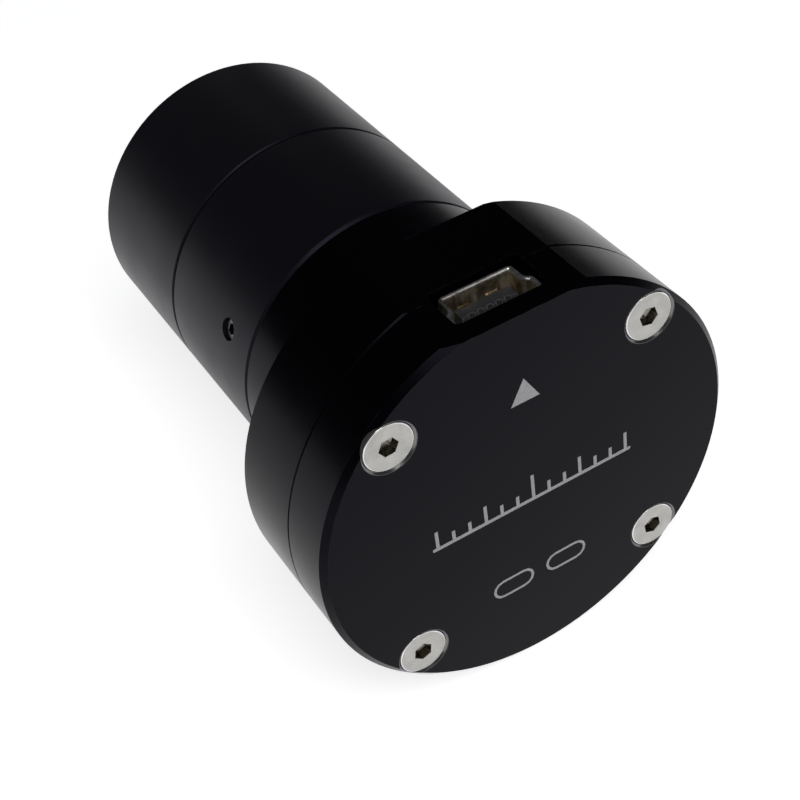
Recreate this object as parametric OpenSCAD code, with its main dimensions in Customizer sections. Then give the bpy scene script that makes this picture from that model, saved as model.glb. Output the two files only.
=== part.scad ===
// Guide camera: a short D-shaped camera head with a three-piece lens barrel.
// The optical axis is +Y, from the rear face at y = 0 towards the lens.
// The milled flat with the mini USB socket is on top, at +Z.

/* [Head] */
// Diameter of the camera head
head_d = 38.0; // [37:0.5:42]
// Distance from the optical axis to the milled flat on top
flat_z = 17.9; // [17.5:0.1:18.2]
// Length of the rear cover
cover_l = 5.4; // [5:0.1:5.8]
// Distance from the rear face to the front shoulder
shoulder_y = 13.1; // [13.1:0.1:15]
// Chamfer around the rear rim
rim_chamfer = 0.5; // [0.2:0.1:0.8]
// Thickness of the plate that closes the rear
rear_plate_t = 1.6; // [1.2:0.1:1.8]
// Radius of the pocket that holds the electronics
pocket_r = 14.0; // [13.8:0.1:14.2]

/* [Cover screws] */
// Diameter of the circle that the four screws stand on
screw_pcd = 33.0; // [33:0.1:33.4]
// Diameter of the countersunk heads
screw_head_d = 4.3; // [4.2:0.1:4.8]
// Length of the screws with their heads
screw_l = 10; // [8:1:10]
// Key size of the hexagon sockets
screw_key = 1.5; // [1.3:0.1:1.5]

/* [Barrel] */
// Outer diameter of the barrel
barrel_d = 27.8; // [27.4:0.1:28.6]
// Front end of the neck, where the lens barrel begins
neck_end = 22.9; // [22:0.1:23]
// Front end of the lens barrel, where the hood begins
barrel_end = 37.7; // [37.6:0.1:37.8]
// Front end of the hood
hood_end = 53.3; // [50:0.1:56]
// Open gap between the lens barrel and the hood at rest
focus_gap = 0.25; // [0.2:0.05:0.4]
// Inner radius of the hood
hood_bore_r = 12.4; // [12:0.1:12.8]

/* [Focus lock] */
// Angle of the lock screw around the barrel, from +X towards +Z
lock_angle = 156; // [120:1:170]
// Distance of the lock screw from the rear face
lock_y = 27.0; // [26:0.1:30]
// Nominal diameter of the lock screw
lock_d = 2.0; // [1.6:0.1:2.4]

/* [USB socket] */
// Width of the socket shell on its wide side
usb_w = 7.7; // [7.5:0.1:7.8]
// Height of the socket shell
usb_h = 3.95; // [3.8:0.05:4]
// Depth of the shell mouth under the flat
usb_recess = 0.55; // [0.3:0.05:0.8]
// Gap between the shell and the sides of its opening
usb_gap = 0.2; // [0.1:0.05:0.3]

/* [Electronics] */
// Thickness of the circuit board
board_t = 1.2; // [1:0.1:1.2]
// Radius of the circuit board
board_r = 13.7; // [13.5:0.1:13.7]
// Side of the square image sensor package
sensor_w = 10.0; // [8:0.1:10]

/* [Hidden] */
$fn = 96;
eps = 0.01;
thread_gap = 0.03;
running_gap = 0.05;
edge_break = 0.25;
fine_edge = 0.12;

head_r = head_d / 2;
barrel_r = barrel_d / 2;

// Cover screws, M2.5 countersunk
screw_r = 1.25;
screw_angles = [45, 135, 225, 315];
screw_recess = 0.1;
screw_edge = 0.12;
screw_sink_r = screw_head_d / 2 + 0.2;
screw_seat = screw_recess + screw_edge + screw_head_d / 2;
screw_seat_gap = 0.02;
screw_break = 0.06;
screw_tip = 0.4;
screw_key_depth = 0.95;
screw_hole_end = 11.2;

// Circuit board, held by three M1.6 screws on bosses
board_y = 6.0;
board_front = board_y + board_t;
boss_angles = [30, 150, 270];
boss_pitch_r = 12.0;
boss_r = 2.3;
board_screw_r = 0.8;
board_screw_head_r = 1.5;
board_screw_head_h = 1.0;
board_screw_end = 9.4;
tab_w = 7.8;
tab_top = 16.1;
tab_slack = 0.2;

// USB socket
usb_wall = 0.35;
usb_far = board_y;
usb_near = usb_far - usb_h;
usb_mouth = flat_z - usb_recess;
usb_depth = 9.2;
usb_tail = usb_mouth - usb_depth;
usb_narrow = 1.1;
usb_bend = 60;
usb_bend_in = 0.5;
usb_bend_out = usb_narrow - usb_bend_in;
usb_side_y = usb_near + 1.5;
usb_wide_corner = 0.8;
usb_narrow_corner = 0.45;
usb_opening_top = usb_far + 0.35;
usb_opening_low = usb_near - 0.15;
usb_opening_corner = 0.5;
tongue_w = 4.9;
tongue_near = usb_near + 1.75;
tongue_far = usb_near + 3.0;
tongue_mouth = usb_mouth - 0.95;
socket_base_top = usb_tail + 3.4;
contact_pitch = 0.8;
contact_w = 0.34;
contact_t = 0.18;
contact_count = 5;

// Image sensor stack
package_t = 1.3;
package_floor = 0.5;
package_rim = 1.3;
die_size = [6.2, 5.2];
die_t = 0.45;
sensor_glass_t = 0.5;
seal_r_in = 7.3;
seal_r_out = 8.9;

// Front wall of the head and the filter in it
wall_y = 10.6;
aperture_r = 7.0;
filter_y = wall_y + 1.8;
filter_t = 1.2;
filter_r = 8.5;
neck_floor = filter_y + filter_t;
neck_bore_r = 12.0;
filter_ring_t = 1.2;
filter_ring_r_in = 7.4;

// Lens barrel
spigot_start = neck_floor + 2.6;
spigot_r_in = 9.6;
cell_r = 10.5;
barrel_bore_start = 23.5;

// Lens cell
cell_start = 24.2;
cell_end = 42.0;
cell_tail_r = 7.5;
shoulder_start = 28.3;
shoulder_end = 31.5;
shoulder_r = 6.8;
chamber_r = 8.3;
seat_y = 34.6;
front_lens_r = 9.0;
front_thread_r = 9.5;
front_thread_y = 39.3;
ring_gap = 0.03;

// Lens surfaces: each radius is a sphere, each vertex lies on the axis
crown_front = 41.0;
crown_front_radius = 24;
crown_back = 36.0;
crown_back_radius = 20;
cement_gap = 0.02;
flint_back = 34.2;
flint_back_radius = 60;
rear_lens_front = 29.6;
rear_lens_front_radius = 18;
rear_lens_back = 26.8;
rear_lens_back_radius = 40;
stop_t = 0.6;
stop_r = 6.0;
spacer_r_in = 7.6;
front_ring_y = 39.65;
front_ring_end = 41.4;
front_ring_r_in = 8.2;
rear_ring_end = 25.9;
rear_ring_y = 24.7;
rear_ring_r_in = 6.4;
slot_w = 1.2;
slot_depth = 0.7;

// Hood
hood_start = barrel_end + focus_gap;
hood_floor = 41.6;
groove_count = 7;
groove_pitch = 1.4;
groove_depth = 0.3;

// Focus lock
lock_r = lock_d / 2;
pad_start = 10.6;
pad_t = 0.8;
pad_r = lock_r - 0.05;
lock_start = pad_start + pad_t + 0.03;
lock_end = barrel_r - 0.35;
lock_key = 0.9;
lock_key_depth = 0.9;

// Solid of revolution about the optical axis; each point is [radius, y]
module turned(points) {
    rotate([-90, 0, 0])
        rotate_extrude()
            polygon(points);
}

// Plain round bar along the optical axis
module bar(radius, start, end) {
    translate([0, start, 0])
        rotate([-90, 0, 0])
            cylinder(r = radius, h = end - start);
}

// Plain ring around the optical axis
module ring(outer, inner, start, end) {
    difference() {
        bar(outer, start, end);
        bar(inner, start - 1, end + 1);
    }
}

// Puts its children at a radius and angle around the optical axis
module around(radius, angle) {
    translate([radius * cos(angle), 0, radius * sin(angle)])
        children();
}

// Turns its children so that their +Z points outwards at an angle around the axis
module outwards(angle, y) {
    translate([0, y, 0])
        rotate([0, 90 - angle, 0])
            children();
}

// Rectangular block centred on x and z, standing on the rear side of the board
module on_board(x, z, size) {
    translate([x - size[0] / 2, board_y - size[2], z - size[1] / 2])
        cube([size[0], size[2], size[1]]);
}

// Removes everything above the milled flat
module milled_flat() {
    difference() {
        children();
        translate([-head_r, -1, flat_z])
            cube([head_d, hood_end, head_r]);
    }
}

// Points along an arc
function arc(center, radius, from, to, steps = 8) = [
    for (i = [0:steps])
        let (a = from + (to - from) * i / steps)
            center + radius * [cos(a), sin(a)]
];

// One half of a list of points with its mirror image in x
function mirrored(points) = concat(
    points,
    [for (i = [len(points) - 1:-1:0]) [-points[i][0], points[i][1]]]
);

// Outline of the socket shell: wide at the near side, stepping in to the narrow far side
function usb_outline(inset) =
    let (
        wide = usb_w / 2,
        low = arc(
            [wide - usb_wide_corner, usb_near + usb_wide_corner],
            usb_wide_corner - inset, -90, 0
        ),
        bulge_center = [wide - usb_bend_in, usb_side_y],
        hollow_center = bulge_center + usb_narrow * [cos(usb_bend), sin(usb_bend)],
        bulge = arc(bulge_center, usb_bend_in - inset, 0, usb_bend, 5),
        hollow = arc(hollow_center, usb_bend_out + inset, 180 + usb_bend, 180, 5),
        narrow = hollow_center[0] - usb_bend_out,
        high = arc(
            [narrow - usb_narrow_corner, usb_far - usb_narrow_corner],
            usb_narrow_corner - inset, 0, 90, 5
        )
    )
    mirrored(concat(low, bulge, hollow, high));

// Flat rectangle with rounded corners, from its low corner to its high corner
module rounded_rect(low, high, radius) {
    size = high - low;
    for (x = [low[0] + radius, high[0] - radius])
        for (y = [low[1] + radius, high[1] - radius])
            translate([x, y])
                circle(r = radius);
    translate(low + [radius, 0])
        square(size - [2 * radius, 0]);
    translate(low + [0, radius])
        square(size - [0, 2 * radius]);
}

// Opening for the socket, cut down from the flat to the pocket
module usb_opening() {
    half = usb_w / 2 + usb_gap;
    translate([0, 0, pocket_r - 4])
        linear_extrude(head_r)
            rounded_rect([-half, usb_opening_low], [half, usb_opening_top], usb_opening_corner);
}

module screw_holes(radius, start, end) {
    for (a = screw_angles)
        around(screw_pcd / 2, a)
            bar(radius, start, end);
}

// Two spanner slots across the face of a threaded ring
module spanner_slots(radius, face, toward) {
    for (side = [-1, 1])
        translate([side * radius, face - toward * slot_depth / 2, 0])
            cube([radius, slot_depth + eps, slot_w], center = true);
}

// Solid inside a sphere whose surface crosses the axis at the vertex;
// side is the direction from the vertex to the centre of the sphere
module ball(vertex, radius, side) {
    translate([0, vertex + side * radius, 0])
        sphere(r = radius, $fn = 128);
}

module rear_cover() {
    color("#1c1c20")
        milled_flat()
            difference() {
                turned([
                    [0, 0],
                    [head_r - rim_chamfer, 0],
                    [head_r, rim_chamfer],
                    [head_r, cover_l - fine_edge],
                    [head_r - fine_edge, cover_l],
                    [pocket_r, cover_l],
                    [pocket_r, rear_plate_t],
                    [0, rear_plate_t]
                ]);
                screw_holes(screw_r + 0.1, -1, cover_l + 1);
                for (a = screw_angles)
                    around(screw_pcd / 2, a)
                        turned([
                            [0, -eps],
                            [screw_sink_r, -eps],
                            [screw_sink_r, screw_seat + screw_seat_gap - screw_sink_r],
                            [screw_r, screw_seat + screw_seat_gap - screw_r],
                            [0, screw_seat + screw_seat_gap - screw_r]
                        ]);
                usb_opening();
            }
}

module cover_screws() {
    color("#b9b7b2")
        for (a = screw_angles)
            around(screw_pcd / 2, a)
                difference() {
                    turned([
                        [0, screw_recess],
                        [screw_head_d / 2 - screw_break, screw_recess],
                        [screw_head_d / 2, screw_recess + screw_break],
                        [screw_head_d / 2, screw_recess + screw_edge],
                        [screw_r, screw_seat - screw_r],
                        [screw_r, screw_l - screw_tip],
                        [screw_r - screw_tip, screw_l],
                        [0, screw_l]
                    ]);
                    translate([0, -eps, 0])
                        rotate([-90, 0, 0])
                            cylinder(d = screw_key / cos(30), h = screw_key_depth, $fn = 6);
                }
}

module front_housing() {
    color("#1a1a1e")
        milled_flat()
            difference() {
                union() {
                    difference() {
                        turned([
                            [aperture_r, wall_y],
                            [pocket_r, wall_y],
                            [pocket_r, cover_l],
                            [head_r - fine_edge, cover_l],
                            [head_r, cover_l + fine_edge],
                            [head_r, shoulder_y - edge_break],
                            [head_r - edge_break, shoulder_y],
                            [barrel_r, shoulder_y],
                            [barrel_r, neck_end - edge_break],
                            [barrel_r - edge_break, neck_end],
                            [neck_bore_r, neck_end],
                            [neck_bore_r, neck_floor],
                            [filter_r + thread_gap, neck_floor],
                            [filter_r + thread_gap, filter_y],
                            [aperture_r, filter_y]
                        ]);
                        screw_holes(screw_r + thread_gap, cover_l - 1, screw_hole_end);
                    }
                    for (a = boss_angles)
                        around(boss_pitch_r, a)
                            bar(boss_r, board_front, wall_y + eps);
                }
                for (a = boss_angles)
                    around(boss_pitch_r, a)
                        bar(board_screw_r + thread_gap, board_front - 1, board_screw_end + 0.3);
                usb_opening();
                translate([-tab_w / 2 - tab_slack, cover_l - 1, pocket_r - 3])
                    cube([
                        tab_w + 2 * tab_slack,
                        board_front + 1 - cover_l,
                        tab_top + tab_slack - pocket_r + 3
                    ]);
            }
}

module circuit_board() {
    color("#1f4d33")
        difference() {
            union() {
                bar(board_r, board_y, board_front);
                translate([-tab_w / 2, board_y, 0])
                    cube([tab_w, board_t, tab_top]);
            }
            for (a = boss_angles)
                around(boss_pitch_r, a)
                    bar(board_screw_r + 0.1, board_y - 1, board_front + 1);
        }
}

module board_screws() {
    head_start = board_y - board_screw_head_h;
    color("#9a9a98")
        for (a = boss_angles)
            around(boss_pitch_r, a)
                difference() {
                    turned([
                        [0, head_start],
                        [board_screw_head_r - 0.3, head_start],
                        [board_screw_head_r, head_start + 0.3],
                        [board_screw_head_r, board_y],
                        [board_screw_r, board_y],
                        [board_screw_r, board_screw_end],
                        [0, board_screw_end]
                    ]);
                    for (turn = [0, 90])
                        translate([0, head_start, 0])
                            rotate([0, turn, 0])
                                cube([1.7, 1.0, 0.35], center = true);
                }
}

module usb_shell() {
    color("#c2b9a0")
        difference() {
            union() {
                translate([0, 0, usb_tail])
                    linear_extrude(usb_depth)
                        polygon(usb_outline(0));
                for (z = [usb_tail + 1, usb_tail + 4.2])
                    translate([-usb_w / 2 - 0.3, usb_far - 0.2, z])
                        cube([usb_w + 0.6, 0.2, 1.4]);
            }
            translate([0, 0, usb_tail - 1])
                linear_extrude(usb_depth + 2)
                    polygon(usb_outline(usb_wall));
        }
}

// One spring contact: along the tongue, out of the tail and down to the board
module contact_strip() {
    tail = usb_tail - 0.7;
    foot = tail - 0.9;
    rotate([90, 0, 90])
        translate([0, 0, -contact_w / 2])
            linear_extrude(contact_w)
                polygon([
                    [tongue_near, tongue_mouth - 0.25],
                    [tongue_near + contact_t, tongue_mouth - 0.25],
                    [tongue_near + contact_t, tail + contact_t],
                    [board_y - contact_t, tail + contact_t],
                    [board_y - contact_t, tail],
                    [board_y, tail],
                    [board_y, foot],
                    [board_y - contact_t, foot],
                    [board_y - contact_t, tail - eps],
                    [tongue_near, tail - eps]
                ]);
}

module all_contacts() {
    for (i = [0:contact_count - 1])
        translate([(i - (contact_count - 1) / 2) * contact_pitch, 0, 0])
            contact_strip();
}

module usb_insulator() {
    color("#2a2a2c")
        difference() {
            union() {
                translate([0, 0, usb_tail + 0.1])
                    linear_extrude(socket_base_top - usb_tail - 0.1)
                        polygon(usb_outline(usb_wall + 0.02));
                translate([-tongue_w / 2, tongue_near, socket_base_top - 1])
                    cube([tongue_w, tongue_far - tongue_near, tongue_mouth - socket_base_top + 1]);
            }
            all_contacts();
        }
}

module usb_contacts() {
    color("#c9a24a")
        all_contacts();
}

module sensor_package() {
    half = sensor_w / 2;
    color("#26262a")
        difference() {
            translate([-half, board_front, -half])
                cube([sensor_w, package_t, sensor_w]);
            translate([package_rim - half, board_front + package_floor, package_rim - half])
                cube([sensor_w - 2 * package_rim, package_t, sensor_w - 2 * package_rim]);
        }
}

module sensor_die() {
    color("#5b5f78")
        translate([-die_size[0] / 2, board_front + package_floor, -die_size[1] / 2])
            cube([die_size[0], die_t, die_size[1]]);
}

module sensor_glass() {
    side = sensor_w - 0.8;
    color("#a8c4cc", 0.4)
        translate([-side / 2, board_front + package_t, -side / 2])
            cube([side, sensor_glass_t, side]);
}

module light_seal() {
    color("#151515")
        ring(seal_r_out, seal_r_in, board_front, wall_y);
}

module camera_processor() {
    color("#202022")
        difference() {
            on_board(-4.2, -1.8, [7, 7, 0.9]);
            translate([-6.9, board_y - 0.9, 0.9])
                rotate([90, 0, 0])
                    cylinder(r = 0.3, h = 0.2, center = true);
        }
}

module flash_memory() {
    center = [5.6, -3.4];
    color("#242426") {
        on_board(center[0], center[1], [3.9, 4.9, 1.4]);
        for (side = [-1, 1])
            for (i = [0:3])
                on_board(center[0] + side * 2.35, center[1] + (i - 1.5) * 1.27, [0.8, 0.42, 0.5]);
    }
}

module clock_crystal() {
    color("#c8c8c8")
        on_board(3.4, 2.9, [3.2, 2.5, 0.8]);
}

module voltage_regulator() {
    center = [-7.4, 5.2];
    color("#222224") {
        on_board(center[0], center[1], [1.6, 2.9, 1.1]);
        for (i = [-1, 0, 1])
            on_board(center[0] - 1.05, center[1] + i * 0.95, [0.5, 0.35, 0.3]);
        for (i = [-1, 1])
            on_board(center[0] + 1.05, center[1] + i * 0.95, [0.5, 0.35, 0.3]);
    }
}

module capacitors() {
    color("#b08a60") {
        for (i = [0:3])
            on_board(-9.6, -4.4 + i * 2.1, [1.0, 1.6, 0.8]);
        for (i = [0:2])
            on_board(-2.2 + i * 2.2, -7.6, [1.6, 1.0, 0.8]);
        on_board(7.4, 1.0, [2.0, 1.25, 1.0]);
    }
}

module resistors() {
    color("#1d1d1d") {
        for (i = [0:3])
            on_board(9.8, -5.0 + i * 1.7, [1.6, 0.8, 0.45]);
        for (i = [0:2])
            on_board(-6.6 + i * 2.2, -9.6, [1.6, 0.8, 0.45]);
    }
}

module filter_glass() {
    color("#c9a8a0", 0.4)
        bar(filter_r, filter_y, neck_floor);
}

module filter_ring() {
    outer = neck_bore_r - thread_gap;
    color("#1a1a1e")
        difference() {
            ring(outer, filter_ring_r_in, neck_floor, neck_floor + filter_ring_t);
            spanner_slots(outer - 0.4, neck_floor + filter_ring_t, 1);
        }
}

module lens_barrel() {
    bore = cell_r + running_gap;
    color("#1e1e22")
        difference() {
            turned([
                [spigot_r_in, spigot_start],
                [neck_bore_r - thread_gap, spigot_start],
                [neck_bore_r - thread_gap, neck_end],
                [barrel_r - edge_break, neck_end],
                [barrel_r, neck_end + edge_break],
                [barrel_r, barrel_end - fine_edge],
                [barrel_r - fine_edge, barrel_end],
                [bore, barrel_end],
                [bore, barrel_bore_start],
                [spigot_r_in, barrel_bore_start]
            ]);
            outwards(lock_angle, lock_y)
                cylinder(r = lock_r + thread_gap, h = head_r);
        }
}

module lock_pad() {
    color("#e4e0d4")
        outwards(lock_angle, lock_y)
            translate([0, 0, pad_start])
                cylinder(r = pad_r, h = pad_t);
}

module lock_screw() {
    color("#6d6d6c")
        outwards(lock_angle, lock_y)
            difference() {
                translate([0, 0, lock_start])
                    cylinder(r = lock_r, h = lock_end - lock_start);
                translate([0, 0, lock_end - lock_key_depth])
                    cylinder(d = lock_key / cos(30), h = lock_key_depth + 1, $fn = 6);
            }
}

module front_crown_lens() {
    color("#9fc0d8", 0.4)
        intersection() {
            bar(front_lens_r, flint_back, crown_front + 1);
            ball(crown_front, crown_front_radius, -1);
            ball(crown_back, crown_back_radius, 1);
        }
}

module front_flint_lens() {
    color("#a9c8b8", 0.4)
        difference() {
            intersection() {
                bar(front_lens_r, flint_back - 1, crown_back + 2.1);
                ball(flint_back, flint_back_radius, 1);
            }
            ball(crown_back - cement_gap, crown_back_radius, 1);
        }
}

module lens_spacer() {
    color("#1b1b1e")
        ring(chamber_r - ring_gap, spacer_r_in, shoulder_end + stop_t, seat_y);
}

module aperture_stop() {
    color("#121213")
        ring(chamber_r - ring_gap, stop_r, shoulder_end, shoulder_end + stop_t);
}

module rear_lens() {
    color("#9fc0d8", 0.4)
        difference() {
            intersection() {
                bar(cell_tail_r - ring_gap, cell_start, rear_lens_front + 1);
                ball(rear_lens_front, rear_lens_front_radius, -1);
            }
            ball(rear_lens_back, rear_lens_back_radius, -1);
        }
}

module lens_cell() {
    color("#202024")
        turned([
            [cell_tail_r, cell_start],
            [cell_r - fine_edge, cell_start],
            [cell_r, cell_start + fine_edge],
            [cell_r, cell_end - fine_edge],
            [cell_r - fine_edge, cell_end],
            [front_thread_r, cell_end],
            [front_thread_r, front_thread_y],
            [front_lens_r + ring_gap, front_thread_y],
            [front_lens_r + ring_gap, seat_y],
            [chamber_r, seat_y],
            [chamber_r, shoulder_end],
            [shoulder_r, shoulder_end],
            [shoulder_r, shoulder_start],
            [cell_tail_r, shoulder_start]
        ]);
}

module front_lens_ring() {
    outer = front_thread_r - ring_gap;
    color("#18181b")
        difference() {
            ring(outer, front_ring_r_in, front_ring_y, front_ring_end);
            spanner_slots(outer - 0.3, front_ring_end, 1);
        }
}

module rear_lens_ring() {
    outer = cell_tail_r - ring_gap;
    color("#18181b")
        difference() {
            ring(outer, rear_ring_r_in, rear_ring_y, rear_ring_end);
            spanner_slots(outer, rear_ring_y, -1);
        }
}

// Fine grooves inside the hood, which trap stray light
function hood_grooves() = [
    for (i = [groove_count - 1:-1:0])
        let (y = hood_floor + 1.2 + i * groove_pitch)
            each [
                [hood_bore_r - groove_depth, y + groove_pitch / 2],
                [hood_bore_r, y + groove_pitch / 4],
                [hood_bore_r, y]
            ]
];

module lens_hood() {
    mouth = hood_end - edge_break;
    color("#212125")
        turned(concat(
            [
                [cell_r + ring_gap, hood_start],
                [barrel_r - fine_edge, hood_start],
                [barrel_r, hood_start + fine_edge],
                [barrel_r, mouth],
                [barrel_r - edge_break, hood_end],
                [hood_bore_r + edge_break, hood_end],
                [hood_bore_r, mouth]
            ],
            hood_grooves(),
            [
                [hood_bore_r - groove_depth, hood_floor],
                [cell_r + ring_gap, hood_floor]
            ]
        ));
}

rear_cover();
cover_screws();
front_housing();
circuit_board();
board_screws();
usb_shell();
usb_insulator();
usb_contacts();
sensor_package();
sensor_die();
sensor_glass();
light_seal();
camera_processor();
flash_memory();
clock_crystal();
voltage_regulator();
capacitors();
resistors();
filter_glass();
filter_ring();
lens_barrel();
lock_pad();
lock_screw();
front_crown_lens();
front_flint_lens();
lens_spacer();
aperture_stop();
rear_lens();
lens_cell();
front_lens_ring();
rear_lens_ring();
lens_hood();
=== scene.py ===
"""Looks of a small black guide camera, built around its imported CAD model.

Lengths are in millimetres until a mesh is written, and MM turns them into metres.
The optical axis is +Y, the rear face is at y = 0 and the milled flat is on top, at +Z.
"""
import math

import bmesh
import bpy
from mathutils import Matrix, Quaternion, Vector


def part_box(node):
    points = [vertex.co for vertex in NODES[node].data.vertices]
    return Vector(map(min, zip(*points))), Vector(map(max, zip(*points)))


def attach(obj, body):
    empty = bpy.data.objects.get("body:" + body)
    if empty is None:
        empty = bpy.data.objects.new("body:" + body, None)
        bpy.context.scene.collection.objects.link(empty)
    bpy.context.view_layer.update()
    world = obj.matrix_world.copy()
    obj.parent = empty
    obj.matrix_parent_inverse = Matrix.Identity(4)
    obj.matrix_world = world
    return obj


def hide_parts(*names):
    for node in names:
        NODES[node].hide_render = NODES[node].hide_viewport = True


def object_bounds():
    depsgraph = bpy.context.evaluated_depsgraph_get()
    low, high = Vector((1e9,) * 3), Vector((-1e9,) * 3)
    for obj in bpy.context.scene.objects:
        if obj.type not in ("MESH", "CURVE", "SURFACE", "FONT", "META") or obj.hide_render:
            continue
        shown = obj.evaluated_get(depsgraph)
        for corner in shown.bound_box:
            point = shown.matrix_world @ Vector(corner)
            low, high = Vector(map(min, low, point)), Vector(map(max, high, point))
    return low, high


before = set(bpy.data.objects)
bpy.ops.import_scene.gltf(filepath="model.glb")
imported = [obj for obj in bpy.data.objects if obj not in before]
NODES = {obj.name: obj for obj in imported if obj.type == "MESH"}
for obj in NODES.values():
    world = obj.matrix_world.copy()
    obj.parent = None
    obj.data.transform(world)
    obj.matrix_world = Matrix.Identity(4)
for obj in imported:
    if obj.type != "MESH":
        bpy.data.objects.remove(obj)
CAD_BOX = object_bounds()
MM = 0.001


def node_box(name):
    """Lowest and highest corner of a CAD node, in millimetres."""
    low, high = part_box(name)
    return Vector(low) / MM, Vector(high) / MM


# Camera: where it looks, from where, and how it is tilted
VIEW_AZIMUTH = -24.89
VIEW_ELEVATION = 41.97
VIEW_ROLL = -9.06
VIEW_DISTANCE = 145.27
VIEW_TARGET = Vector((0.0, 22.06, -6.29))
LENS = 71.78
SENSOR = 36.0

# Mesh quality
SEGMENTS = 72
CELL_SEGMENTS = 120
SHARP_ANGLE = 32

# Sizes that the CAD model doesn't give as a box
SCREW_CIRCLE_R = 16.5
SCREW_ANGLES = (45, 135, 225, 315)
SCREW_OFFSET = SCREW_CIRCLE_R * math.cos(math.radians(45))
SCREW_R = 1.25
SCREW_PITCH = 0.45
SCREW_KEY = 1.5
SCREW_KEY_DEPTH = 0.85
SINK_R = 2.36
LOCK_ANGLE = 156
LOCK_R = 1.0
LOCK_INNER_END = 11.43
LOCK_OUTER_END = 13.55
LOCK_KEY = 0.9
LOCK_KEY_DEPTH = 0.8
LOCK_PITCH = 0.4
CELL_R = 10.5
CELL_PITCH = 0.5
USB_W = 7.7
USB_WALL = 0.35
CONTACT_W = 0.34
CONTACT_PITCH = 0.8
CONTACT_X = [(i - 2) * CONTACT_PITCH for i in range(5)]

BOARD_Y = node_box("circuit_board")[0].y


# ---------------------------------------------------------------- mesh tools

def frame_at(origin, out):
    """Matrix that puts local Z along a direction at a point."""
    turn = Vector(out).to_track_quat("Z", "Y").to_matrix().to_4x4()
    return Matrix.Translation(Vector(origin)) @ turn


def circle(radius, height, key=0.0, count=SEGMENTS):
    """Ring around local Z; with a key size it is that hexagon instead."""
    points = []
    for i in range(count):
        angle = math.tau * i / count
        reach = radius
        if key:
            off_flat = (angle + math.pi / 6) % (math.pi / 3) - math.pi / 6
            reach = key / 2 / math.cos(off_flat)
        points.append(Vector((reach * math.cos(angle), reach * math.sin(angle), height)))
    return points


def thread(radius, start, end, pitch, count=SEGMENTS, per_turn=8):
    """Rings of a right-handed thread along local Z, which fades out at both ends."""
    depth = 0.6 * pitch
    steepness, crest = 1.3, 0.15
    run = abs(end - start)
    steps = round(run / pitch * per_turn)
    rings = []
    for k in range(steps + 1):
        z = start + (end - start) * k / steps
        fade = min(1.0, run * k / steps / pitch, run * (steps - k) / steps / pitch)
        ring = []
        for i in range(count):
            saw = abs(2 * ((z / pitch - i / count) % 1.0) - 1)
            reach = radius - depth * fade * min(1.0, max(0.0, steepness * saw - crest))
            angle = math.tau * i / count
            ring.append(Vector((reach * math.cos(angle), reach * math.sin(angle), z)))
        rings.append(ring)
    return rings


def arc(center, radius, start, end, steps):
    """Points on an arc in a plane, in degrees."""
    angles = [math.radians(start + (end - start) * i / steps) for i in range(steps + 1)]
    return [(center[0] + radius * math.cos(a), center[1] + radius * math.sin(a)) for a in angles]


def loft(bm, rings, place=None, material=0, closed=False, looks=None):
    """Skin through rings of equal length, closed by end faces or back onto the first ring.

    looks gives single bands, counted from the first ring, another of the piece's materials.
    """
    place = place or Matrix.Identity(4)
    looks = looks or {}
    rows = [[bm.verts.new(place @ Vector(point)) for point in ring] for ring in rings]
    pairs = list(zip(rows, rows[1:])) + ([(rows[-1], rows[0])] if closed else [])
    for band, (low, high) in enumerate(pairs):
        for i in range(len(low)):
            j = (i + 1) % len(low)
            face = bm.faces.new((low[i], low[j], high[j], high[i]))
            face.material_index = looks.get(band, material)
    if not closed:
        for row in (list(reversed(rows[0])), rows[-1]):
            bm.faces.new(row).material_index = material


def frame_ring(left, right, bottom, top, y):
    """Four corners of a rectangle in X and Z."""
    return [(left, y, bottom), (right, y, bottom), (right, y, top), (left, y, top)]


def block(bm, low, high, bevel=0.06, material=0, draft=0.0):
    """Box with rounded edges; draft makes its -Y side smaller."""
    low, high = Vector(low), Vector(high)
    corners = []
    for y, inset in ((low.y, draft), (high.y, 0.0)):
        corners.append(frame_ring(low.x + inset, high.x - inset, low.z + inset, high.z - inset, y))
    start = len(bm.verts)
    loft(bm, corners, material=material)
    bm.verts.ensure_lookup_table()
    verts = set(bm.verts[start:])
    edges = [e for e in bm.edges if e.verts[0] in verts]
    bmesh.ops.bevel(bm, geom=edges, offset=bevel, segments=2, profile=0.5, affect="EDGES")


def strip(bm, path, width, thickness, across, material=0):
    """Flat strip swept along a path; its width lies along across."""
    across = Vector(across).normalized() * width / 2
    rings = []
    for i, point in enumerate(path):
        before, after = path[max(i - 1, 0)], path[min(i + 1, len(path) - 1)]
        side = (Vector(after) - Vector(before)).normalized().cross(across).normalized()
        lift = side * thickness / 2
        low, high = Vector(point) - lift, Vector(point) + lift
        rings.append([low - across, low + across, high + across, high - across])
    loft(bm, rings, material=material)


def tube(bm, path, radius, sides):
    """Round wire along a path."""
    rings = []
    for i, point in enumerate(path):
        before, after = path[max(i - 1, 0)], path[min(i + 1, len(path) - 1)]
        place = frame_at(point, Vector(after) - Vector(before))
        rings.append([place @ p for p in circle(radius, 0.0, count=sides)])
    loft(bm, rings)


def lift_outline(outline, y):
    """Outline in X and Z, placed at a distance from the rear face."""
    return [(x, y, z) for x, z in outline]


def slab(bm, outline, near, far):
    """Flat shape in X and Z, between two distances from the rear face."""
    loft(bm, [lift_outline(outline, near), lift_outline(outline, far)])


def outline_band(bm, outer, inner, far, near):
    """Flat line between two outlines in X and Z."""
    rings = [lift_outline(outer, far), lift_outline(outer, near)]
    rings += [lift_outline(inner, near), lift_outline(inner, far)]
    loft(bm, rings, closed=True)


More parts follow.
